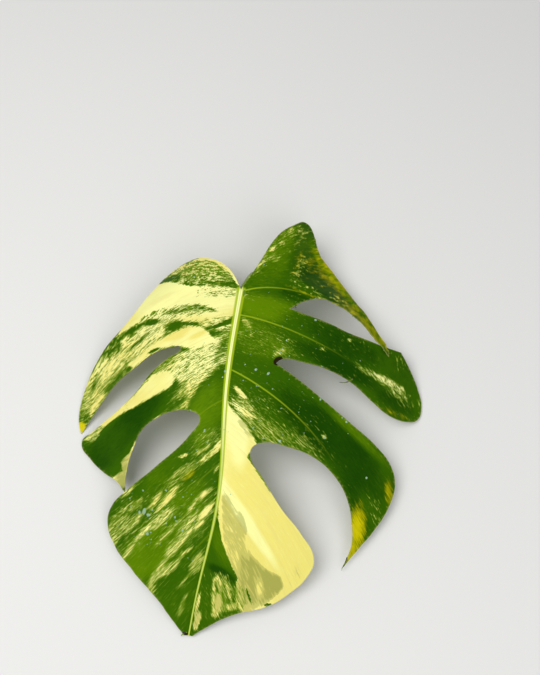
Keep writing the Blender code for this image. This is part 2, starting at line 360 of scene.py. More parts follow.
# Share of cream in the marbling: below 0 plain green, about 0.5 even streaks, above 1 plain cream.
CREAM = [
    # right half: a few specks
    (-0.22, ((50, -62), 78, 62, -20)),
    (0.02, ((14, -34), 16, 14, 0)),
    (0.10, ((32, -88), 26, 11, -28)),
    (-0.10, ((60, -96), 24, 8, -22)),
    # first left lobe: upper part
    (0.46, ((-34, 14), 36, 14, 4)),
    (0.56, ((-48, 20), 16, 7, 30)),
    (0.04, ((-54, 9), 8, 3.0, 10), 0.8),
    (0.46, ((-24, 11), 13, 5, -14)),
    (1.10, ((2, 0), (-4, 4), (-11, 13), (-18, 18), (-25, 21.5), (-36, 24), (-36, 28), (-25, 26),
            (-8, 17)), 0.7),
    # first left lobe: outer part
    (0.46, ((-84, -58), 44, 24, 60)),
    (0.18, ((-84, -40), 17, 7, 50)),
    (0.66, ((-76, -50), 20, 5, 50)),
    (0.74, ((-91, -62), 13, 6, 60)),
    (0.54, ((-98, -80), 15, 5, 80)),
    (0.00, ((-78, -70), 15, 2.8, 48), 0.7),
    (0.10, ((-97, -72), 6, 1.6, 75), 0.8),
    (0.95, ((-85, -79), (-91, -80), (-98, -92), (-95, -95), (-90, -86)), 2.0),
    (0.20, ((-100, -98), 7, 4, 80)),
    # first left lobe: the cream band and its green flecks
    (1.40, ((0, -1), (-20, 0), (-35, 0), (-47, 2), (-53, 5), (-62, 6), (-70, 2), (-78, -18),
            (-86, -36), (-80, -31), (-72, -26), (-64, -20), (-56, -17), (-44, -18), (-30, -14),
            (-20, -16), (-10, -19), (0, -20)), 1.2),
    (0.66, ((-15, -4), 20, 5, 2), 0.7),
    (0.56, ((-58, -20), 13, 3.5, 14), 0.8),
    (0.34, ((-34, -17), 14, 4, 4), 0.8),
    # first left lobe: the marbling under the band
    (0.68, ((-84, -35), (-72, -27), (-60, -22), (-46, -21), (-20, -18), (0, -20), (0, -30),
            (-14, -34), (-22, -31), (-36, -32), (-48, -37), (-58, -46), (-70, -54), (-80, -46)), 2.0),
    (-0.30, ((-61, -27), 5.5, 2.0, 4), 0.7),
    (-0.35, ((-42, -30.5), 6, 3.0, 25), 0.7),
    (-0.25, ((-31, -29), 6, 1.3, 0), 0.7),
    (0.00, ((-74, -32), 9, 2.4, 28), 0.8),
    (0.10, ((-68, -42), 9, 1.4, 42), 0.8),
    (-0.40, ((-21, -33), (-13, -29), (-5, -24), (0, -19), (-2, -26), (-12, -31)), 1.0),
    (1.10, ((-20, -22.5), 17, 1.8, 12), 0.7),
    # beside the midrib, between the first and second left lobes
    (0.64, ((-1, -30), (-14, -38), (-30, -48), (-46, -56), (-52, -64), (-38, -67), (-30, -74),
            (-40, -88), (-34, -92), (-22, -90), (-17, -76), (-8, -63), (0, -54)), 3.0),
    (0.24, ((-5, -44), 12, 3.2, 78), 0.8),
    (0.30, ((-46, -59), 9, 3, 26), 0.8),
    (0.20, ((-29, -86), 7, 2.4, 40), 0.8),
    (1.40, ((-17, -35), (-22, -32), (-30, -31), (-36, -33), (-46, -38), (-54, -44), (-62, -51),
            (-71, -59), (-68, -61), (-58, -53), (-50, -48), (-42, -46), (-35, -46), (-28, -47),
            (-20, -44), (-12, -42)), 2.0),
    (-0.20, ((-54, -49), 5, 1.2, 25)),
    # second left lobe
    (-0.60, ((-70, -112), 42, 19, 42)),
    (1.30, ((-36, -66), (-46, -65), (-52, -67), (-57, -73), (-62, -81), (-69, -92), (-62, -91),
            (-56, -88), (-50, -85), (-43, -80), (-36, -74)), 2.4),
    (1.05, ((-60, -79), (-74, -91), (-91, -105), (-98, -113), (-92, -111), (-82, -103),
            (-72, -96), (-64, -90)), 1.4),
    (0.45, ((-89, -109), 8, 3.4, 48)),
    (-0.80, ((-53, -95), 17, 7, 46)),
    (1.10, ((-36, -91), (-44, -97), (-50, -103), (-56, -113), (-59, -121), (-62, -124),
            (-64, -127), (-62, -133), (-69, -137), (-66, -141), (-61, -143), (-58, -148),
            (-56, -132), (-54, -116), (-48, -104), (-42, -97))),
    # left of the end of the blade: beside the midrib
    (-0.40, ((-9, -90), 20, 11, 78)),
    (-0.25, ((-30, -126), 26, 9, 48)),
    (0.22, ((-6, -110), 13, 8, 40)),
    (0.90, ((2.5, -113), 5.5, 1.8, 70)),
    (0.66, ((-3, -120), 8, 2.0, 44)),
    (0.50, ((-8, -117), 6, 1.0, 36)),
    (0.90, ((-20, -121), 3.6, 1.1, 24)),
    (0.60, ((4, -127), 3.5, 1.0, 62)),
    (0.36, ((-19, -133), 14, 4, 46)),
    (0.44, ((-24, -134), 8, 1.2, 48)),
    # left of the end of the blade: outer streaks
    (0.14, ((-38, -164), 32, 14, 46)),
    (0.74, ((-26, -149), 10, 2.2, 56)),
    (0.66, ((-34, -151), 6, 1.8, 58)),
    (0.55, ((-28, -162), 10, 3.0, 44)),
    (0.48, ((-22, -170), 16, 1.6, 50)),
    (0.60, ((-39, -171), 9, 1.8, 52)),
    (0.66, ((-48, -184), 8, 1.6, 56)),
    (0.52, ((-48, -166), 9, 2.6, 50)),
    (0.48, ((-49, -155), 7, 2.6, 46)),
    (0.36, ((-59, -165), 14, 6, 60)),
    (0.44, ((-59, -176), 13, 3, 64)),
    (0.66, ((-55, -146), 7, 1.6, 44), 0.8),
    # left of the end of the blade: inner streaks
    (0.22, ((-6, -164), 26, 8, 56)),
    (0.60, ((-3, -145), 7, 2.0, 46)),
    (0.60, ((-8, -152), 6, 1.4, 58)),
    (0.95, ((1, -155), 7, 1.9, 54)),
    (0.66, ((-9, -163), 7, 1.6, 52)),
    (0.75, ((-2, -163), 4, 1.4, 46)),
    (0.60, ((-12, -174), 11, 2.0, 54)),
    (0.50, ((-18, -181), 6, 3.4, 50)),
    (0.60, ((-9, -182), 6, 1.4, 46)),
    (0.54, ((-17, -192), 9, 2.6, 48)),
    (0.48, ((-26, -197), 12, 3.4, 62)),
    (0.42, ((0, -187), 8, 4, 66)),
    (0.40, ((-29, -208), 6, 3, 60)),
    (0.42, ((-7, -199), 7, 1.2, 55)),
    (0.28, ((-6, -214), 8, 2, 76)),
    (0.80, ((4.2, -212), 8, 1.1, 84)),
    (0.90, ((5.2, -222), 6, 2.0, 80)),
    # cream sector right of the midrib
    (0.95, ((12, -75), 7, 1.5, -40)),
    (0.42, ((18, -88), 16, 6, -38)),
    (0.80, ((16, -87), 10, 1.3, -24)),
    (0.75, ((25, -98), 7, 1.2, -46)),
    (0.34, ((34, -98), 14, 7, -24)),
    (0.22, ((56, -101), 16, 6, -18)),
    (1.70, ((3, -80), (5, -85), (11, -90), (18, -96), (24, -102), (28, -108), (22, -116),
            (40, -135), (80, -160), (86, -182), (60, -210), (38, -216), (30, -207), (28, -193),
            (23, -186), (18, -178), (14, -171), (11, -161), (9, -150), (8, -130), (6, -110),
            (4.5, -95))),
    (-0.70, ((10, -160), (14, -171), (18, -178), (23, -186), (28, -192), (24, -196),
             (16, -191), (8, -188), (7, -170))),
    (0.55, ((32, -203), 9, 4, -70)),
    (-0.40, ((37, -202), 6, 0.7, -62)),
    (-0.60, ((50, -205), 3, 1.0, 24)),
    # below the green wedge
    (0.30, ((19, -201), 13, 7, -80)),
    (0.60, ((12, -195), (15, -192), (18, -196), (19, -203), (20, -212), (18, -219), (14, -218),
            (13, -208)), 1.4),
    (0.90, ((17.5, -209), 6, 1.6, -84)),
    (0.20, ((15, -200), 3.5, 1.0, -70)),
    (0.66, ((23, -200), 8, 0.9, -64)),
    (0.50, ((27, -210), 7, 2.5, 20)),
    # second right lobe
    (0.40, ((8, -25), 6, 2.2, -50)),
    (0.50, ((12, -33), 1.4, 1.0, 0), 0.9),
    (0.45, ((19, -37), 1.4, 0.9, 0), 0.9),
    (0.12, ((34, -36), 14, 7, -20)),
    (0.60, ((38, -31), 1.4, 0.9, 40)),
    (0.75, ((80, -20), 1.8, 1.4, 0), 0.8),
    (0.45, ((62, -32), 2.2, 1.6, 0), 0.8),
    (0.50, ((33, -42), 5, 2.2, 40)),
    (0.66, ((86, -35), (91, -37), (97, -38), (106, -38), (116, -39.5), (123, -42), (124, -44),
            (116, -46), (110, -45), (103, -43), (95, -41), (90, -39)), 3.0),
    (0.40, ((120, -48), 11, 4.5, -20), 0.8),
    # third right lobe
    (-0.40, ((98, -104), 26, 12, -40)),
    (-0.30, ((106, -134), 22, 12, -68)),
    (0.10, ((114, -134), 12, 4, -60)),
    (0.6, ((72, -93), 2.2, 1.4, -30), 0.8),
    # first right lobe
    (-0.30, ((26, 12), 20, 11, 30)),
    (0.24, ((18, 36), 26, 6, 60)),
    (0.55, ((10.5, 22), 5, 1.0, 62)),
    (0.80, ((17, 36.5), 2.6, 1.3, 40)),
    (0.75, ((23, 43.5), 2.8, 1.1, 60)),
    (0.58, ((28, 37), 4, 2.4, 30), 0.8),
    (0.46, ((21, 28), 4, 1.4, 50)),
    (0.60, ((28, 55), 3.4, 1.5, 60)),
    (0.26, ((36, 57), 7, 3.4, 80), 0.8),
    (0.46, ((33, 44), 5, 2.4, 60)),
    (-0.40, ((58, 22), 34, 14, -30)),
    (0.20, ((38, 27), 15, 5, 76), 0.7),
    (0.22, ((50, 10), 18, 3.4, -16), 0.7),
    (0.16, ((66, 13), 16, 4, -34), 0.7),
]

# Warmth of the cream: 0 pale, 1 yellow.
WARM = [
    (-0.1, ((-34, -7), 40, 14, 4)),
    (0.1, ((-14, -46), 26, 14, 50)),
    (0.8, ((30, -140), 74, 40, -55)),
    (-0.3, ((28, -156), 32, 3.2, -46), 0.8),
    (0.3, ((13, -100), 24, 6, -72)),
    (0.2, ((-30, -40), 20, 7, 20)),
    (1.1, ((-40, -37.5), 7, 2.6, 24), 0.8),
    (0.9, ((-24, -37), 6, 1.6, 30), 0.8),
    (1.0, ((17, -209), 8, 3, -84)),
    # partly painted sheen: the streak on the second right lobe made paler
    (-0.6, ((106, -41), 24, 6, -10)),
]

# Share of grey-green that lies over the cream.
SAGE = [
    (0.40, ((10, -138), (14, -142), (20, -149), (27, -155), (30, -164), (31, -171), (37, -177),
            (45, -183), (56, -186), (59, -192), (56, -198), (48, -206), (36, -214), (28, -204),
            (27, -192), (20, -182), (14, -168), (11, -152)), 1.2),
    (0.55, ((16, -152), 12, 3.0, -60), 0.8),
    (0.60, ((27, -158), 8, 1.6, -64), 0.8),
    (0.45, ((25, -170), 8, 4, -50), 0.8),
    (0.80, ((28, -178), (36, -178), (45, -184), (56, -187), (58, -193), (54, -199), (46, -206),
            (34, -208), (30, -196), (28, -190)), 2.2),
    (0.95, ((44, -186), (55, -188), (58, -192), (55, -196), (47, -196)), 3.0),
    (0.20, ((43, -196), 5, 2.0, -80), 0.8),
    (0.45, ((20, -97), 12, 5, -44)),
    (0.80, ((-62, -130), 16, 5, 80)),
    (0.95, ((-60, -142), 9, 5, 60)),
    (0.60, ((5, -219), 10, 3, 84)),
    # partly painted sheen: the same streak on the second right lobe made greyer
    (0.35, ((106, -41), 24, 6, -10), 0.8),
    (0.50, ((18, -206), 12, 5, -84)),
    (0.30, ((28, 38), 24, 8, 60), 0.8),
]

# Lightness of the green, partly the leaf's own tone and partly painted light and shade: lighter near the
# midrib and along margins that roll up into the light, darker on the outer lobes. 1 yellow-green, 0 mid
# green, -1 deep green.
TONE_AND_PAINTED_LIGHT = [
    (0.90, ((20, -11), 22, 9, -4)),
    (0.50, ((18, -36), 22, 14, -10)),
    (0.40, ((16, 20), 20, 12, 50)),
    (0.50, ((24, 46), 20, 8, 58)),
    (0.60, ((-38, 17), 24, 8, 12)),
    (0.60, ((-8, -90), 26, 12, 78)),
    (0.20, ((-30, -126), 20, 10, 48)),
    (0.80, ((-34, -184), 26, 14, 48)),
    (0.55, ((-16, -160), 26, 12, 55)),
    (0.20, ((-10, -212), 18, 12, 50)),
    (0.30, ((20, -66), 24, 10, -20)),
    (-0.60, ((78, -24), 40, 10, -12)),
    (-0.85, ((72, -40), 34, 7, -14)),
    (-0.10, ((118, -34), 16, 12, -40)),
    (-0.60, ((118, -54), 16, 8, -10)),
    # painted shade: the third right lobe darker where it slopes away from the light
    (-0.85, ((74, -92), 48, 14, -28)),
    (-0.90, ((100, -116), 26, 14, -60)),
    (-0.30, ((112, -138), 18, 8, -60)),
    # painted highlight: a light band where the third right lobe's upper margin rolls up into the light
    (0.45, ((88, -82), 36, 3.5, -32)),
    (-0.90, ((-60, -98), 26, 10, 46)),
    (-0.50, ((-78, -120), 24, 12, 42)),
    (0.45, ((14, -174), 14, 5, -60)),
    (-0.90, ((18, -191), 12, 3.0, -22)),
    (-0.70, ((38, 3), 12, 4.5, -10)),
    (-0.50, ((54, 18), 22, 12, -35)),
    (0.25, ((38, 52), 11, 7, 70)),
    # painted highlight along the first right lobe's rolled margin
    (0.50, ((42, 54), (46, 42), (57, 31), (70, 18), (84, 5), (108, -8), (98, 4), (76, 28), (53, 48)), 3.0),
    (-0.10, ((-52, 9), 14, 4, -6)),
]

# Yellowing and browning at lobe ends and old edges; the brown also holds a painted shade line beside the
# first right lobe's rolled margin.
YELLOW = [
    (1.2, ((-101, -104), 5, 4, 80), 0.7),
    (0.10, ((104, -136), 14, 7, -76), 0.9),
    (1.05, ((102.5, -148), 11, 5, -82), 1.0),
    (0.65, ((101, -162), 10, 5, 72), 0.7),
    (0.50, ((121.5, -119), 11, 4, -76), 0.9),
    (0.18, ((119, -63), 14, 4, -4), 0.8),
    (-0.05, ((36, 26), 22, 8, 70), 0.8),
    (0.00, ((58, 20), 32, 14, -40), 0.8),
    (0.22, ((48, 33), 8, 4, -12), 0.8),
    (0.18, ((64, 22), 24, 7, -44), 0.8),
    (0.22, ((36, 30), 15, 1.4, 80), 0.8),
    (0.32, ((46, 6.5), 15, 1.4, -9), 0.8),
    (0.32, ((68, 3.5), 12, 1.6, -10), 0.8),
    (0.42, ((94, -1), 18, 8, -25), 0.7),
    (0.30, ((42, 46), (46, 36), (56, 29), (68, 17), (79, 7), (89, 1), (98, -4), (108, -8), (110, -2),
            (98, 4), (88, 14), (76, 28), (63, 40), (53, 48), (48, 52)), 4.0),
    (0.85, ((47, 50), (53, 42), (62, 34), (74, 22), (84, 11), (93, 4), (108, -8), (110, -2),
            (98, 4), (88, 14), (76, 28), (63, 40), (53, 48), (50, 52)), 1.6),
    (0.30, ((-14, -133), 7, 3, 40)),
    (-0.15, ((50, -90), 20, 8, -30)),
]
BROWN = [
    (0.75, ((102, -166), 7, 2, 70)),
    (0.40, ((101, -164), 12, 6, 72), 0.8),
    (0.45, ((122.5, -119), 9, 2.4, -76), 0.9),
    (1.2, ((96, -173), 4, 2, 70)),
    (0.50, ((123, -110), 10, 3.4, 86), 0.8),
    (0.8, ((121, -19), 5, 1.4, -50)),
    (1.2, ((-2, -231), 3, 1.3, 0)),
    (0.9, ((-59, -145), 4, 1.6, 70)),
    (3.0, ((33.5, -48), 3.6, 2.4, 50)),
    (0.40, ((102, -6), 12, 5, -40), 0.8),
    # painted shade: a dark line along the inner side of the first right lobe's rolled margin
    (0.40, ((78, 16), 34, 3.4, -44), 0.8),
    (0.55, ((70, 17), 24, 1.3, -45), 0.8),
    (0.32, ((66, -182), 20, 10, 56), 0.8),
]

# Each painted field: its value where there is no patch, and its patches.
FIELDS = {
    "cream": (-0.15, CREAM),
    "warm": (0.6, WARM),
    "sage": (-0.6, SAGE),
    "light": (0.0, TONE_AND_PAINTED_LIGHT),
    "yellow": (-0.6, YELLOW),
    "brown": (-0.6, BROWN),
}


# --------------------------------------------------------------------------
# Properties
# --------------------------------------------------------------------------
def colour_property(name, description, default):
    """Colour that a user can change."""
    return FloatVectorProperty(
        name=name, description=description, default=default, subtype="COLOR", size=3, min=0.0, max=1.0
    )


class LeafForm(bpy.types.PropertyGroup):
    """Sizes of the leaf's fine shape."""

    thickness: FloatProperty(
        name="Thickness", description="Thickness of the blade", default=0.0008, unit="LENGTH"
    )
    rim_thickness: FloatProperty(
        name="Rim", description="Thickness of the blade at its margin", default=0.0004, unit="LENGTH"
    )
    spacing: FloatProperty(
        name="Spacing", description="Spacing of the blade's points", default=0.0011, unit="LENGTH"
    )
    rib_width: FloatProperty(
        name="Midrib", description="Half width of the midrib at the notch", default=0.0024, unit="LENGTH"
    )
    rib_height: FloatProperty(
        name="Midrib height", description="How far the midrib stands out underneath at the notch",
        default=0.0030, unit="LENGTH"
    )
    vein_height: FloatProperty(
        name="Vein height", description="How far a side vein stands out underneath at its root",
        default=0.0011, unit="LENGTH"
    )
    stalk_radius: FloatProperty(
        name="Stalk", description="Radius of the stalk", default=0.0037, unit="LENGTH"
    )
    drops: IntProperty(name="Drops", description="Number of small water drops", default=120, min=0)
    drop_size: FloatProperty(
        name="Drop size", description="Radius of the largest small drop", default=0.0005, unit="LENGTH"
    )


class LeafColours(bpy.types.PropertyGroup):
    """Colours of the leaf."""

    light_green: colour_property("Light green", "Green of the lightest parts", (0.110, 0.225, 0.001))
    green: colour_property("Green", "Green of most of the blade", (0.036, 0.116, 0.001))
    deep_green: colour_property("Deep green", "Green of the darkest parts", (0.010, 0.056, 0.001))
    cream: colour_property("Cream", "Yellower parts of the marbling", (0.86, 0.77, 0.19))
    pale_cream: colour_property("Pale cream", "Palest parts of the marbling", (0.95, 0.95, 0.37))
    halo: colour_property("Halo", "Pale green round the cream", (0.23, 0.34, 0.028))
    tan: colour_property("Tan", "Duller strands in the cream", (0.74, 0.64, 0.22))
    sage: colour_property("Sage", "Grey-green film over the cream", (0.33, 0.35, 0.070))
    rib: colour_property("Midrib", "Pale core of the midrib", (0.95, 0.97, 0.42))
    rib_edge: colour_property("Veins", "Yellow-green of the veins", (0.38, 0.52, 0.015))
    yellow: colour_property("Yellow", "Yellowing at the lobe ends", (0.74, 0.64, 0.003))
    # brown is also used for the painted shade line beside the first right lobe's rolled margin
    brown: colour_property("Brown", "Dry spots", (0.018, 0.013, 0.004))
    underside: colour_property("Underside", "Dull tint of the underside", (0.30, 0.38, 0.14))
    stalk: colour_property("Stalk", "Green of the stalk", (0.17, 0.27, 0.03))
    stalk_pale: colour_property("Stalk flecks", "Pale flecks on the stalk", (0.50, 0.58, 0.16))
    cut: colour_property("Cut end", "Flesh at the stalk's cut end", (0.56, 0.60, 0.26))


class LeafStage(bpy.types.PropertyGroup):
    """Camera, floor and light."""

    azimuth: FloatProperty(
        name="Azimuth", description="Turn of the camera round the leaf",
        default=math.radians(8.6), subtype="ANGLE"
    )
    elevation: FloatProperty(
        name="Elevation", description="Camera angle above the floor",
        default=math.radians(70.0), subtype="ANGLE"
    )
    distance: FloatProperty(
        name="Distance", description="Camera to the point that it looks at", default=0.656, unit="LENGTH"
    )
    focal_length: FloatProperty(
        name="Focal length", description="Camera focal length in millimetres", default=50.0, unit="CAMERA"
    )
    floor_colour: colour_property("Floor", "Colour of the floor", (0.80, 0.80, 0.79))
    key_power: FloatProperty(name="Key light", description="Power of the main light in watts", default=6.6)
    fill_power: FloatProperty(name="Fill light", description="Power of the front light in watts", default=3.8)
    sky: FloatProperty(name="Sky", description="Strength of the even light from all round", default=0.42)


# --------------------------------------------------------------------------
# Materials
# --------------------------------------------------------------------------
class Nodes:
    """Short way to write a material's nodes."""

    def __init__(self, name):
        self.material = bpy.data.materials.new(name)
        self.material.use_nodes = True
        self.tree = self.material.node_tree
        self.shader = self.tree.nodes["Principled BSDF"]

    def node(self, kind, **settings):
        """New node with its settings."""
        made = self.tree.nodes.new("ShaderNode" + kind)
        for key, value in settings.items():
            setattr(made, key, value)
        return made

    def feed(self, socket, value):
        """Link a socket, or set its number or colour."""
        if isinstance(value, bpy.types.NodeSocket):
            self.tree.links.new(value, socket)
        elif isinstance(value, (tuple, list)) and len(value) == 3 and socket.type == "RGBA":
            socket.default_value = (*value, 1.0)
        else:
            socket.default_value = value

    def maths(self, operation, first, second=0.0, third=None):
        """Result of one piece of arithmetic."""
        made = self.node("Math", operation=operation)
        self.feed(made.inputs[0], first)
        self.feed(made.inputs[1], second)
        if third is not None:
            self.feed(made.inputs[2], third)
        return made.outputs[0]

    def times(self, first, second):
        """Product of two numbers."""
        return self.maths("MULTIPLY", first, second)

    def plus(self, first, second):
        """Sum of two numbers."""
        return self.maths("ADD", first, second)

    def scaled(self, value, factor, shift):
        """A number times a factor, plus a shift."""
        return self.maths("MULTIPLY_ADD", value, factor, shift)

    def ease(self, value, low, high):
        """0 below low and 1 above high, with a smooth step between."""
        made = self.node("MapRange", interpolation_type="SMOOTHSTEP")
        for place, number in enumerate((value, low, high, 0.0, 1.0)):
            self.feed(made.inputs[place], number)
        return made.outputs[0]

    def mix(self, share, first, second):
        """Blend of two colours."""
        made = self.node("Mix", data_type="RGBA")
        self.feed(made.inputs["Factor"], share)
        self.feed(made.inputs[6], first)
        self.feed(made.inputs[7], second)
        return made.outputs[2]

    def attribute(self, name):
        """Number painted on the mesh."""
        return self.node("Attribute", attribute_name=name).outputs["Fac"]

    def noise(self, vector, scale, detail=3.0, roughness=0.5, distortion=0.0):
        """Cloudy pattern, about 0.5 on average."""
        made = self.node("TexNoise")
        self.feed(made.inputs["Vector"], vector)
        made.inputs["Scale"].default_value = scale
        made.inputs["Detail"].default_value = detail
        made.inputs["Roughness"].default_value = roughness
        made.inputs["Distortion"].default_value = distortion
        return made.outputs[0]

    def stretched(self, vector, along, across):
        """Coordinates scaled along and across the veins."""
        made = self.node("Mapping")
        self.feed(made.inputs["Vector"], vector)
        made.inputs["Scale"].default_value = (along, across, 1.0)
        return made.outputs[0]


def blade_material(colours):
    """Living leaf: greens marbled with cream along the veins, duller and greyer underneath."""
    m = Nodes("marbled_leaf")
    veins = m.node("UVMap", uv_map="flow").outputs[0]
    place = m.node("TexCoord").outputs["Object"]
    broad = m.noise(m.stretched(veins, 9.0, 60.0), 1.0, 3.0, 0.55, 0.4)
    fine = m.noise(m.stretched(veins, 26.0, 145.0), 1.0, 3.0, 0.6, 0.4)
    specks = m.noise(m.stretched(veins, 70.0, 260.0), 1.0, 2.0, 0.5)
    clouds = m.noise(place, 26.0, 3.0, 0.5)
    streaks = m.scaled(broad, 1.1, m.scaled(fine, 2.3, -1.7))
    streaks = m.plus(streaks, m.scaled(specks, 1.3, -0.65))
    share = m.plus(m.attribute("cream"), streaks)
    colour = blade_green(m, colours, clouds, fine)
    cream = blade_cream(m, colours, veins, clouds, fine)
    colour = m.mix(m.ease(share, 0.14, 0.50), colour, colours.halo[:])
    strength = m.scaled(m.ease(m.attribute("cream"), 0.30, 0.62), 0.38, 0.62)
    colour = m.mix(m.times(m.ease(share, 0.50, 0.66), strength), colour, cream)
    # yellowing, veins, rim, dry spots and a painted shade line
    mottle = m.scaled(broad, 1.0, m.scaled(fine, 1.2, -1.1))
    ageing = m.plus(m.attribute("yellow"), mottle)
    colour = m.mix(m.times(m.ease(ageing, 0.0, 1.0), 0.85), colour, colours.yellow[:])
    beside = m.maths("ABSOLUTE", m.attribute("vein_side"))
    line = m.times(m.ease(beside, 0.85, 0.10), m.attribute("vein"))
    colour = m.mix(m.times(line, 0.7), colour, colours.rib_edge[:])
    beside = m.maths("ABSOLUTE", m.attribute("rib_side"))
    rib = m.attribute("rib")
    edge = m.times(m.ease(beside, 1.6, 1.0), m.ease(rib, 0.0, 0.5))
    colour = m.mix(m.times(edge, 0.9), colour, colours.rib_edge[:])
    pale = m.ease(beside, 0.62, 0.38)
    core = m.maths("SUBTRACT", pale, m.times(m.ease(beside, 0.16, 0.04), 0.45))
    colour = m.mix(m.times(core, rib), colour, colours.rib[:])
    colour = m.mix(m.times(m.attribute("rim"), 0.22), colour, colours.cream[:])
    dry_spots_and_painted_shade = m.plus(m.attribute("brown"), m.times(mottle, 0.8))
    colour = m.mix(m.ease(dry_spots_and_painted_shade, 0.3, 1.1), colour, colours.brown[:])
    # duller, greyer underside
    under = m.attribute("under")
    colour = m.mix(m.times(under, 0.38), colour, colours.underside[:])
    m.feed(m.shader.inputs["Base Color"], colour)
    gloss = m.scaled(fine, 0.16, 0.30)
    m.feed(m.shader.inputs["Roughness"], m.scaled(under, 0.22, gloss))
    m.shader.inputs["Specular IOR Level"].default_value = 0.025
    m.shader.inputs["Specular Tint"].default_value = (0.75, 0.9, 0.25, 1.0)
    grain = m.plus(m.noise(m.stretched(veins, 12.0, 200.0), 1.0, 2.0), m.noise(place, 900.0, 2.0))
    bump = m.node("Bump")
    bump.inputs["Strength"].default_value = 0.25
    bump.inputs["Distance"].default_value = 0.0002
    m.feed(bump.inputs["Height"], grain)
    m.feed(m.shader.inputs["Normal"], bump.outputs[0])
    return m.material


def blade_green(m, colours, clouds, fine):
    """The greens: deep, mid and yellow-green, lighter within the marbling, with the painted light and shade
    of the light field laid in.
    """
    light = m.plus(m.attribute("light"), m.scaled(clouds, 1.2, -0.6))
    light = m.plus(light, m.scaled(fine, 1.0, -0.5))
    light = m.plus(light, m.times(m.ease(m.attribute("cream"), 0.0, 0.6), 0.7))
    green = m.mix(m.ease(light, -1.0, 0.0), colours.deep_green[:], colours.green[:])
    return m.mix(m.ease(light, 0.0, 1.0), green, colours.light_green[:])


def blade_cream(m, colours, veins, clouds, fine):
    """The creams: pale and warm, with a grey-green film over them in places."""
    warmth = m.plus(m.attribute("warm"), m.scaled(clouds, 1.6, -0.8))
    cream = m.mix(m.ease(warmth, 0.1, 0.9), colours.pale_cream[:], colours.cream[:])
    cream = m.mix(m.times(m.ease(fine, 0.52, 0.70), 0.35), cream, colours.pale_cream[:])
    strands = m.noise(m.stretched(veins, 4.0, 45.0), 1.0, 3.0, 0.6)
    cream = m.mix(m.times(m.ease(strands, 0.48, 0.68), 0.30), cream, colours.tan[:])
    edge = m.noise(m.stretched(veins, 14.0, 45.0), 1.0, 4.0, 0.6, 0.5)
    film = m.plus(m.attribute("sage"), m.scaled(edge, 1.3, -0.65))
    cream = m.mix(m.times(m.ease(film, 0.22, 0.46), 0.55), cream, colours.sage[:])
    return m.mix(m.times(m.ease(film, 0.62, 0.84), 0.7), cream, colours.sage[:])


def stalk_material(colours):
    """Smooth green stalk with fine pale flecks along it, and pale flesh at the cut."""
    m = Nodes("fleshy_stalk")
    place = m.node("TexCoord").outputs["Object"]
    along = m.stretched(place, 900.0, 90.0)
    flecks = m.noise(along, 1.0, 3.0, 0.6)
    clouds = m.noise(place, 40.0, 2.0)
    colour = m.mix(m.ease(flecks, 0.56, 0.66), colours.stalk[:], colours.stalk_pale[:])
    colour = m.mix(m.ease(clouds, 0.4, 0.7), colour, colours.light_green[:])
    strands = m.noise(place, 1400.0, 1.0)
    flesh = m.mix(m.ease(strands, 0.58, 0.68), colours.cut[:], colours.stalk[:])
    colour = m.mix(m.attribute("cut"), colour, flesh)
    m.feed(m.shader.inputs["Base Color"], colour)
    m.feed(m.shader.inputs["Roughness"], m.scaled(flecks, 0.2, 0.32))
    bump = m.node("Bump")
    bump.inputs["Strength"].default_value = 0.3
    bump.inputs["Distance"].default_value = 0.0003
    m.feed(bump.inputs["Height"], flecks)
    m.feed(m.shader.inputs["Normal"], bump.outputs[0])
    return m.material


def thread_material(colours):
    """Dry olive and brown fibre."""
    m = Nodes("dry_thread")
    patches = m.noise(m.node("TexCoord").outputs["Object"], 350.0, 2.0)
    m.feed(m.shader.inputs["Base Color"], m.mix(m.ease(patches, 0.4, 0.6), colours.halo[:], colours.brown[:]))
    m.shader.inputs["Roughness"].default_value = 0.6
    return m.material


def water_with_painted_glint_material():
    """Water whose pale green-white diffuse part is painted highlight, so that the drops show as bright
    glints.
    """
    m = Nodes("water")
    ripple = m.noise(m.node("TexCoord").outputs["Object"], 300.0, 1.0)
    m.feed(m.shader.inputs["Roughness"], m.scaled(ripple, 0.04, 0.0))
    # painted highlight: the pale diffuse colour makes the drops look lit with glints
    m.shader.inputs["Base Color"].default_value = (0.62, 0.92, 0.62, 1.0)
    m.shader.inputs["Transmission Weight"].default_value = 0.55
    m.shader.inputs["IOR"].default_value = 1.33
    return m.material


def floor_material(settings):
    """Matt pale floor."""
    m = Nodes("pale_floor")
    clouds = m.noise(m.node("TexCoord").outputs["Object"], 3.0, 2.0)
    shade = [0.97 * part for part in settings.floor_colour]
    m.feed(m.shader.inputs["Base Color"], m.mix(clouds, settings.floor_colour[:], tuple(shade)))
    m.shader.inputs["Roughness"].default_value = 0.7
    return m.material


# --------------------------------------------------------------------------
# Mesh helpers
# --------------------------------------------------------------------------
def mesh_of(item):
    """Evaluated mesh of a curve; the curve is removed."""
    graph = bpy.context.evaluated_depsgraph_get()
    mesh = bpy.data.meshes.new_from_object(item.evaluated_get(graph))
    bpy.data.objects.remove(item, do_unlink=True)
    return mesh


def bezier_item(name, places, dimensions, steps, closed=False):
    """Smooth curve object through places; a place marked as a corner stays sharp."""
    curve = bpy.data.curves.new(name, "CURVE")
    curve.dimensions = dimensions
    curve.resolution_u = steps
    spline = curve.splines.new("BEZIER")
    spline.bezier_points.add(len(places) - 1)
    for knot, place in zip(spline.bezier_points, places):
        corner = dimensions == "2D" and len(place) == 3
        knot.co = (place[0], place[1], 0.0) if dimensions == "2D" else place
        knot.handle_left_type = "VECTOR" if corner else "AUTO"
        knot.handle_right_type = "VECTOR" if corner else "AUTO"
    spline.use_cyclic_u = closed
    item = bpy.data.objects.new(name, curve)
    bpy.context.collection.objects.link(item)
    bpy.context.view_layer.update()
    return item


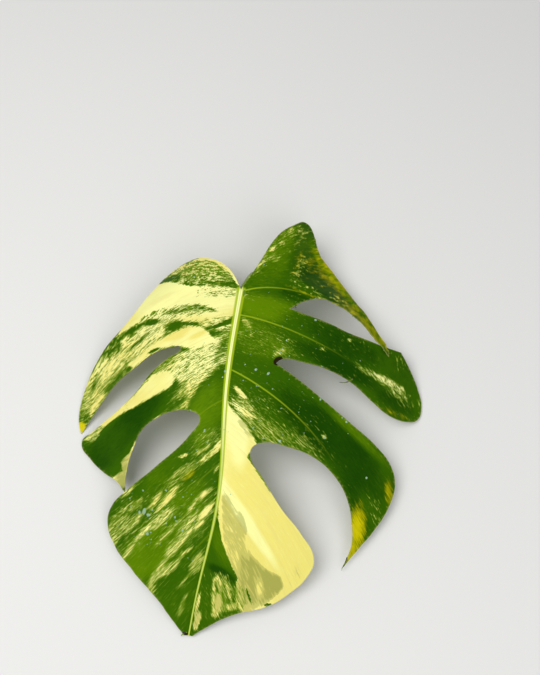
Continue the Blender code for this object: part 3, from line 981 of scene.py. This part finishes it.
def finish_piece(name, shape, material, sharp=50.0):
    """Turn a bmesh into a smooth named piece that rides on the leaf."""
    mesh = bpy.data.meshes.new(name)
    shape.to_mesh(mesh)
    shape.free()
    mesh.materials.append(material)
    mesh.shade_smooth()
    mesh.set_sharp_from_angle(angle=math.radians(sharp))
    piece = bpy.data.objects.new(name, mesh)
    bpy.context.scene.collection.objects.link(piece)
    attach(piece, "root")
    return piece


def paint_points(mesh, name, values):
    """Store one number for each point of a mesh."""
    layer = mesh.attributes.new(name, "FLOAT", "POINT")
    layer.data.foreach_set("value", np.asarray(values, np.float32))


def cut_lines(shape, axis, places):
    """Cut a flat face along lines square to an axis, working upwards."""
    normal = Vector((1, 0, 0)) if axis == 0 else Vector((0, 1, 0))
    ahead = shape.verts[:] + shape.edges[:] + shape.faces[:]
    for place in places:
        cut = bmesh.ops.bisect_plane(shape, geom=ahead, dist=0.001, plane_co=normal * place, plane_no=normal)
        ahead = [part for part in cut["geom"] if part.is_valid and reaches(part, axis, place)]


def reaches(part, axis, place):
    """True where a vertex, edge or face goes past a line."""
    corners = (part,) if isinstance(part, bmesh.types.BMVert) else part.verts
    return any(corner.co[axis] > place + 0.001 for corner in corners)


# --------------------------------------------------------------------------
# Blade
# --------------------------------------------------------------------------
OUTLINE_STEPS = 12              # straight pieces in each outline curve
FINE_FROM, FINE_TO = -8.0, 16.0     # sideways stretch round the midrib with closer points

# Fine shape, heights and widths in millimetres; the widths of what belongs to the
# midrib are in half widths of the midrib.
VALLEY_DEPTH, VALLEY_WIDTH = 0.9, 8.0       # trough along each side vein
GROOVE_DEPTH, GROOVE_WIDTH = 0.30, 0.9      # sunken line of the side vein
RIB_TROUGH, RIB_TROUGH_WIDTH = 1.6, 2.6     # trough that the midrib lies in
RIB_CREST = 0.85                            # midrib above its trough
RIB_LINE, RIB_LINE_WIDTH = 0.25, 0.22       # fine line along the midrib
RIB_END, RIB_TAPER = 0.18, 0.82             # shares of the midrib's width left at the tip, and lost
UNDER_RIB_WIDTH = 1.35                      # midrib's width underneath
UNDER_VEIN_WIDTH = 1.5                      # side vein's half width underneath
FADE_ALONG = 0.75                           # how much of a side vein is lost at its end
# Ripples: height, waves across the fine veins, waves along them, and where they start.
RIPPLES = [(0.10, 0.55, 0.03, 0.0), (0.16, 0.23, -0.06, 1.0)]
UV_SCALE = 0.01                             # vein coordinates stored for each millimetre
LOWEST_TOP, LOWEST_UNDER = 0.5, 0.05        # least heights of the two faces above the floor


def flat_blade(spacing):
    """The flat outline, filled and divided into small faces."""
    curve = bezier_item("outline", OUTLINE, "2D", OUTLINE_STEPS, closed=True)
    curve.data.fill_mode = "BOTH"
    bpy.context.view_layer.update()
    shape = bmesh.new()
    shape.from_mesh(mesh_of(curve))
    bmesh.ops.remove_doubles(shape, verts=shape.verts[:], dist=0.01)
    bmesh.ops.dissolve_faces(shape, faces=shape.faces[:])
    coarse = 2.0 * spacing
    for axis in (0, 1):
        places = [vert.co[axis] for vert in shape.verts]
        lines = list(np.arange(min(places) + coarse / 2, max(places), coarse))
        if axis == 0:
            lines += [line + coarse / 2 for line in lines if FINE_FROM < line < FINE_TO]
        cut_lines(shape, axis, sorted(lines))
    bmesh.ops.subdivide_edges(shape, edges=shape.edges[:], cuts=1, use_grid_fill=True)
    odd = [face for face in shape.faces if len(face.verts) > 4]
    bmesh.ops.triangulate(shape, faces=odd)
    return shape


def rib_profile(x, y, half_width):
    """Signed distance from the midrib in half widths, its taper, and where there is a midrib."""
    along = np.clip(-y / BLADE_LENGTH, 0.0, 1.0)
    width = half_width * (RIB_END + RIB_TAPER * (1.0 - along) ** 1.5)
    present = smooth(3.0, -2.0, y)
    return (x - midrib_x(y)) / width, along, present


def dome(distance):
    """Round section: 1 in the middle, 0 from a distance of 1."""
    return np.sqrt(np.clip(1.0 - distance ** 2, 0.0, 1.0))


def relief(x, y, form):
    """Heights of the fine shape on the upper face and underneath, in millimetres."""
    gap, _, along = side_vein_field(x, y)
    fade = 1.0 - FADE_ALONG * along
    rib, taper, present = rib_profile(x, y, form.rib_width / MM)
    rib = np.abs(rib)
    off_rib = smooth(1.0, 2.5, rib)
    beside = smooth(0.0, VALLEY_WIDTH, np.abs(x - midrib_x(y)))
    valley = -VALLEY_DEPTH * np.exp(-(gap / VALLEY_WIDTH) ** 2) * fade * beside
    across, root = flow(x, y)
    ripples = sum(
        height * np.sin(root * across_veins + across * along_veins + start)
        for height, across_veins, along_veins, start in RIPPLES
    )
    curl = CURL_HEIGHT * np.exp(-(line_gap(x, y, CURL) / CURL_WIDTH) ** 2)
    upper = valley + ripples * off_rib + curl
    upper -= RIB_TROUGH * np.exp(-(rib / RIB_TROUGH_WIDTH) ** 2) * (1.0 - 0.5 * taper) * present
    body = upper.copy()
    upper -= GROOVE_DEPTH * np.exp(-(gap / GROOVE_WIDTH) ** 2) * fade * off_rib
    upper += RIB_CREST * dome(rib) * (1.0 - 0.55 * taper) * present
    upper -= RIB_LINE * np.exp(-(rib / RIB_LINE_WIDTH) ** 2) * (1.0 - taper) * present
    under = form.rib_height / MM * dome(rib / UNDER_RIB_WIDTH) * (1.0 - 0.75 * taper) * present
    side = form.vein_height / MM * dome(gap / (UNDER_VEIN_WIDTH * fade)) * fade
    return upper, body, np.maximum(under, side * smooth(0.02, 0.06, along))


def blade_paint(mesh, x, y, top, rim, form):
    """Store the painted fields and the vein coordinates on the blade."""
    gap, side, along = side_vein_field(x, y)
    rib, taper, present = rib_profile(x, y, form.rib_width / MM)
    paint_points(mesh, "vein_side", np.clip(gap, 0.0, 3.0) * side)
    painted = {name: paint(x, y, base, patches) for name, (base, patches) in FIELDS.items()}
    strength = (1.0 - smooth(1.2, 2.4, gap)) * (1.0 - smooth(0.05, 0.70, along))
    strength *= np.where(x < midrib_x(y), 0.25, smooth(-165.0, -140.0, y))
    paint_points(mesh, "vein", strength * (1.0 - smooth(0.2, 0.7, painted["cream"])))
    paint_points(mesh, "rib_side", np.clip(rib, -4.0, 4.0))
    paint_points(mesh, "rib", present * (1.0 - 0.55 * smooth(0.34, 0.56, taper)))
    for name, values in painted.items():
        paint_points(mesh, name, values)
    paint_points(mesh, "rim", rim)
    paint_points(mesh, "under", 1.0 - top)
    corner = np.zeros(len(mesh.loops), np.int32)
    mesh.loops.foreach_get("vertex_index", corner)
    across, root = flow(x, y)
    layer = mesh.uv_layers.new(name="flow")
    places = np.stack([across, root], -1)[corner] * UV_SCALE
    layer.data.foreach_set("uv", places.astype(np.float32).ravel())


def build_blade(form, colours):
    """The blade: upper face with sunken veins, underside with raised ones, and a thin rim."""
    shape = flat_blade(form.spacing / MM)
    upper = bmesh.ops.extrude_face_region(shape, geom=shape.faces[:], use_keep_orig=True)
    raised = {part for part in upper["geom"] if isinstance(part, bmesh.types.BMVert)}
    rim_edges = {edge for edge in shape.edges if (edge.verts[0] in raised) != (edge.verts[1] in raised)}
    rim_verts = {vert for edge in rim_edges for vert in edge.verts}
    shape.verts.index_update()
    flat = np.array([vert.co[:2] for vert in shape.verts])
    top = np.array([1.0 if vert in raised else 0.0 for vert in shape.verts])
    rim = np.array([1.0 if vert in rim_verts else 0.0 for vert in shape.verts])
    x, y = flat[:, 0], flat[:, 1]
    places, normals = bend_with_normals(x, y)
    high, body, ridge = relief(x, y, form)
    thick = np.where(rim > 0.5, form.rim_thickness, form.thickness) / MM
    lift = np.where(top > 0.5, high, body - thick - ridge * (1.0 - rim))
    places = places + normals * lift[:, None] + leaf_origin()
    places[:, 2] = np.maximum(places[:, 2], np.where(top > 0.5, LOWEST_TOP, LOWEST_UNDER))
    for vert, place in zip(shape.verts, places * MM):
        vert.co = place
    bmesh.ops.recalc_face_normals(shape, faces=shape.faces[:])
    piece = finish_piece("leaf_blade_skin", shape, blade_material(colours), 60.0)
    blade_paint(piece.data, x, y, top, rim, form)
    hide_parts("leaf_blade")
    return piece


# --------------------------------------------------------------------------
# Stalk
# --------------------------------------------------------------------------
STALK_STEPS = 10                            # straight pieces between the points of its path
STALK_ROUNDNESS = 8                         # steps in each quarter of its section
NECK_SWELL, NECK_POINT, NECK_SPREAD = 0.10, 2.5, 1.4    # swelling, counted in points of the path
CUT_RIM, CUT_CORE, CUT_SINK = 0.35, 1.4, 0.15           # rings of the cut end, in millimetres


def build_stalk(form, colours):
    """The stalk with its swollen neck and clean cut end."""
    item = bezier_item("stalk", STALK_PATH, "3D", STALK_STEPS)
    item.data.bevel_depth = form.stalk_radius / MM
    item.data.bevel_resolution = STALK_ROUNDNESS
    item.data.use_fill_caps = True
    knots = item.data.splines[0].bezier_points
    for place, knot in enumerate(knots):
        knot.radius = 1.0 + NECK_SWELL * math.exp(-((place - NECK_POINT) / NECK_SPREAD) ** 2)
    bpy.context.view_layer.update()
    shape = bmesh.new()
    shape.from_mesh(mesh_of(item))
    bmesh.ops.remove_doubles(shape, verts=shape.verts[:], dist=0.01)
    bmesh.ops.recalc_face_normals(shape, faces=shape.faces[:])
    end = min(shape.faces, key=lambda face: face.calc_center_median().y if len(face.verts) > 8 else 1e9)
    bmesh.ops.inset_region(shape, faces=[end], thickness=CUT_RIM, depth=0.0)
    core = bmesh.ops.inset_region(shape, faces=[end], thickness=CUT_CORE, depth=-CUT_SINK)["faces"]
    flesh = {vert for face in core + [end] for vert in face.verts}
    shape.verts.index_update()
    cut = np.array([1.0 if vert in flesh else 0.0 for vert in shape.verts])
    for vert in shape.verts:
        vert.co.z = max(vert.co.z, STALK_CLEARANCE)
    shift = leaf_origin()
    for vert in shape.verts:
        vert.co = (vert.co + Vector(shift)) * MM
    piece = finish_piece("petiole_skin", shape, stalk_material(colours))
    paint_points(piece.data, "cut", cut)
    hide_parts("petiole")
    return piece


# --------------------------------------------------------------------------
# Water drops and loose threads
# --------------------------------------------------------------------------
# Larger drops: place on the flat blade and radius, in millimetres.
LARGE_DROPS = [
    ((-41, -158), 1.9), ((-38, -160), 1.3), ((-44, -159), 1.1), ((-35, -157), 0.7), ((-37, -172), 1.3),
    ((-34, -171), 0.6), ((-44, -145), 0.9), ((-28, -144), 0.7), ((-19, -160), 0.9), ((-18, -163), 0.6),
    ((-24, -165), 0.6), ((-13, -168), 0.9), ((-16, -147), 0.5), ((-53, -151), 0.6), ((-8, -103), 0.9),
    ((-5, -111), 0.5), ((-1, -62), 1.2), ((-2, -66), 0.6), ((-36, 8), 0.7), ((-28, -16), 0.5),
    ((55, -12), 1.1), ((28, -58), 1.1), ((19, -57), 0.9), ((12, -55), 0.6), ((34, -42), 0.9),
    ((37, -32), 0.6), ((66, -68), 0.8), ((85, -79), 1.0), ((82, -77), 0.6), ((72, -93), 0.9),
    ((43, -102), 1.0), ((31, -102), 0.7), ((104, -113), 0.9), ((33, -68), 0.6), ((21, -68), 0.6),
    ((24, -97), 0.7), ((40, -80), 0.5), ((63, -2), 0.6), ((13, 22), 0.5), ((54, 4), 0.5),
]
SMALL_DROP_AREAS = [
    # place on the flat blade and spread, in millimetres
    ((-38, -160), 16), ((-15, -160), 14), ((30, -72), 24), ((25, -30), 22), ((70, -60), 28),
    ((-10, -110), 12),
]

DROP_SEED = 7
DROP_REACH = 0.003          # a drop further than this from the blade is left out, in metres

# Threads torn from the margins: places on the flat blade with their sink below it,
# and the radius at the root, in millimetres.
THREADS = [
    (((86, -47.5, 0.3), (84, -49.5, 0.8), (81, -51.5, 1.2), (77, -52.5, 0.8)), 0.55),
    (((98.5, -166, 0.2), (97.5, -170, 0.2), (96.5, -172.5, 0.1), (96, -175, 0.0)), 0.40),
    (((39, -1.5, 0.4), (40, -3.5, 1.6), (39, -5.0, 2.2), (40.5, -5.5, 1.6)), 0.50),
    (((-1, -229.5, 0.4), (-2.5, -231, 0.3), (-3.6, -232, 0.2), (-4, -232.8, 0.2)), 0.80),
    (((-59, -143, 0.2), (-58.6, -145.5, 0.2), (-57.5, -147.5, 0.2), (-58, -148.5, 0.1)), 0.50),
]


def surface_points(blade):
    """Places and outward directions of the points of the blade's upper face."""
    mesh = blade.data
    count = len(mesh.vertices)
    places, normals = np.zeros(count * 3), np.zeros(count * 3)
    under, rim = np.zeros(count, np.float32), np.zeros(count, np.float32)
    mesh.vertices.foreach_get("co", places)
    mesh.vertices.foreach_get("normal", normals)
    mesh.attributes["under"].data.foreach_get("value", under)
    mesh.attributes["rim"].data.foreach_get("value", rim)
    keep = (under < 0.5) & (rim < 0.5)
    return places.reshape(-1, 3)[keep], normals.reshape(-1, 3)[keep]


def build_drops(form, blade):
    """Water drops that lie on the upper face."""
    places, normals = surface_points(blade)
    shift = leaf_origin()
    chance = random.Random(DROP_SEED)
    wanted = [(place, radius * MM) for place, radius in LARGE_DROPS]
    for _ in range(form.drops):
        centre, spread = chance.choice(SMALL_DROP_AREAS)
        place = chance.gauss(centre[0], spread), chance.gauss(centre[1], spread)
        wanted.append((place, form.drop_size * chance.uniform(0.3, 1.0)))
    shape = bmesh.new()
    for place, size in wanted:
        gaps = np.hypot(places[:, 0] - (place[0] + shift[0]) * MM, places[:, 1] - (place[1] + shift[1]) * MM)
        nearest = int(np.argmin(gaps))
        if gaps[nearest] > DROP_REACH:
            continue
        turn = Vector(normals[nearest]).to_track_quat("Z", "X").to_matrix().to_4x4()
        spin = Matrix.Rotation(chance.uniform(0.0, math.pi), 4, "Z")
        length, width = chance.uniform(0.9, 1.4), chance.uniform(0.7, 1.0)
        stretch = Matrix.Diagonal((size * length, size * width, size * 0.5, 1.0))
        lay = Matrix.Translation(Vector(places[nearest])) @ turn @ spin @ stretch
        bmesh.ops.create_uvsphere(shape, u_segments=10, v_segments=6, radius=1.0, matrix=lay)
    piece = finish_piece("water_drops", shape, water_with_painted_glint_material(), 180.0)
    return piece


def build_threads(colours):
    """Thin dry threads that hang from torn places along the margins."""
    shape = bmesh.new()
    for path, radius in THREADS:
        flat = np.array(path, float)
        # the whole thread bends with the lobe that its root is on
        masks = lobe_masks(flat[:1, 0], flat[:1, 1])
        masks = {lobe: np.repeat(inside, len(flat)) for lobe, inside in masks.items()}
        bent = bend(flat[:, 0], flat[:, 1], masks)
        bent[:, 2] = np.maximum(bent[:, 2] - flat[:, 2], 0.5)
        item = bezier_item("thread", [tuple(place) for place in bent], "3D", 6)
        item.data.bevel_depth = radius
        item.data.bevel_resolution = 2
        item.data.use_fill_caps = True
        knots = item.data.splines[0].bezier_points
        for step, knot in enumerate(knots):
            knot.radius = 1.0 - 0.7 * step / (len(knots) - 1)
        bpy.context.view_layer.update()
        shape.from_mesh(mesh_of(item))
    bmesh.ops.remove_doubles(shape, verts=shape.verts[:], dist=0.01)
    bmesh.ops.recalc_face_normals(shape, faces=shape.faces[:])
    shift = Vector(leaf_origin())
    for vert in shape.verts:
        vert.co = (vert.co + shift) * MM
    piece = finish_piece("margin_threads", shape, thread_material(colours))
    return piece


# --------------------------------------------------------------------------
# Stage
# --------------------------------------------------------------------------
def area_light(name, place, size, power, colour):
    """Soft square light that points at the leaf."""
    lamp = bpy.data.lights.new(name, "AREA")
    lamp.size = size
    lamp.energy = power
    lamp.color = colour
    item = bpy.data.objects.new(name, lamp)
    item.location = place
    item.rotation_euler = (Vector(LIGHT_AIM) - Vector(place)).to_track_quat("-Z", "Y").to_euler()
    bpy.context.scene.collection.objects.link(item)


LIGHT_AIM = (0.0, 0.0, 0.03)                # metres
KEY_PLACE, KEY_SIZE = (-0.44, -0.10, 1.0), 0.7
FILL_PLACE, FILL_SIZE = (0.55, -0.60, 0.85), 0.9
CAMERA_AIM = (24.8, -28.5, 38.4)            # from the notch, in millimetres
FLOOR_SIZE = 3.0                            # middle to edge, in metres


def build_stage(settings):
    """Pale floor, even sky, a soft main light, a weaker one in front, and the camera."""
    shape = bmesh.new()
    bmesh.ops.create_grid(shape, x_segments=1, y_segments=1, size=FLOOR_SIZE)
    mesh = bpy.data.meshes.new("floor")
    shape.to_mesh(mesh)
    shape.free()
    mesh.materials.append(floor_material(settings))
    floor = bpy.data.objects.new("floor", mesh)
    bpy.context.scene.collection.objects.link(floor)
    world = bpy.data.worlds.new("studio")
    world.use_nodes = True
    sky = world.node_tree.nodes["Background"]
    sky.inputs["Color"].default_value = (1.0, 1.0, 1.0, 1.0)
    sky.inputs["Strength"].default_value = settings.sky
    bpy.context.scene.world = world
    area_light("key", KEY_PLACE, KEY_SIZE, settings.key_power, (1.0, 0.99, 0.97))
    area_light("fill", FILL_PLACE, FILL_SIZE, settings.fill_power, (1.0, 1.0, 1.0))
    build_camera(settings)
    bpy.context.scene.view_settings.view_transform = "Standard"


def build_camera(settings):
    """Camera that looks down on the leaf from in front of its tip."""
    aim = (Vector(leaf_origin()) + Vector(CAMERA_AIM)) * MM
    flat, rise = math.cos(settings.elevation), math.sin(settings.elevation)
    away = Vector((math.sin(settings.azimuth) * flat, -math.cos(settings.azimuth) * flat, rise))
    data = bpy.data.cameras.new("camera")
    data.lens = settings.focal_length
    camera = bpy.data.objects.new("camera", data)
    camera.location = aim + away * settings.distance
    camera.rotation_euler = (-away).to_track_quat("-Z", "Y").to_euler()
    bpy.context.scene.collection.objects.link(camera)
    bpy.context.scene.camera = camera


# --------------------------------------------------------------------------
# Operators and panel
# --------------------------------------------------------------------------
class LEAF_OT_blade(bpy.types.Operator):
    """Build the blade with its veins and marbling"""

    bl_idname = "leaf.blade"
    bl_label = "Blade"

    def execute(self, context):
        build_blade(context.scene.leaf_form, context.scene.leaf_colours)
        return {"FINISHED"}


class LEAF_OT_stalk(bpy.types.Operator):
    """Build the stalk with its cut end"""

    bl_idname = "leaf.stalk"
    bl_label = "Stalk"

    def execute(self, context):
        build_stalk(context.scene.leaf_form, context.scene.leaf_colours)
        return {"FINISHED"}


class LEAF_OT_drops(bpy.types.Operator):
    """Lay water drops on the blade"""

    bl_idname = "leaf.drops"
    bl_label = "Water drops"

    def execute(self, context):
        build_drops(context.scene.leaf_form, bpy.data.objects["leaf_blade_skin"])
        return {"FINISHED"}


class LEAF_OT_threads(bpy.types.Operator):
    """Hang loose threads from the torn places"""

    bl_idname = "leaf.threads"
    bl_label = "Threads"

    def execute(self, context):
        build_threads(context.scene.leaf_colours)
        return {"FINISHED"}


class LEAF_OT_stage(bpy.types.Operator):
    """Set up the floor, the light and the camera"""

    bl_idname = "leaf.stage"
    bl_label = "Stage"

    def execute(self, context):
        build_stage(context.scene.leaf_stage)
        return {"FINISHED"}


class LEAF_PT_panel(bpy.types.Panel):
    """Leaf tools"""

    bl_idname = "LEAF_PT_panel"
    bl_label = "Monstera leaf"
    bl_space_type = "VIEW_3D"
    bl_region_type = "UI"
    bl_category = "Leaf"

    def draw(self, context):
        layout = self.layout
        for operator in OPERATORS:
            layout.operator(operator.bl_idname)
        for group in (context.scene.leaf_form, context.scene.leaf_colours, context.scene.leaf_stage):
            box = layout.box()
            for name in group.bl_rna.properties.keys():
                if name not in ("rna_type", "name"):
                    box.prop(group, name)


OPERATORS = (LEAF_OT_stage, LEAF_OT_blade, LEAF_OT_stalk, LEAF_OT_drops, LEAF_OT_threads)
GROUPS = {"leaf_form": LeafForm, "leaf_colours": LeafColours, "leaf_stage": LeafStage}


def register():
    """Add the classes and the scene's settings."""
    for item in (*GROUPS.values(), *OPERATORS, LEAF_PT_panel):
        bpy.utils.register_class(item)
    for name, group in GROUPS.items():
        setattr(bpy.types.Scene, name, PointerProperty(type=group))


def unregister():
    """Remove the classes and the scene's settings."""
    for name in GROUPS:
        delattr(bpy.types.Scene, name)
    for item in reversed((*GROUPS.values(), *OPERATORS, LEAF_PT_panel)):
        bpy.utils.unregister_class(item)


def main():
    """Build everything in order."""
    register()
    bpy.ops.leaf.stage()
    bpy.ops.leaf.blade()
    bpy.ops.leaf.stalk()
    bpy.ops.leaf.drops()
    bpy.ops.leaf.threads()


if __name__ == "__main__":
    main()
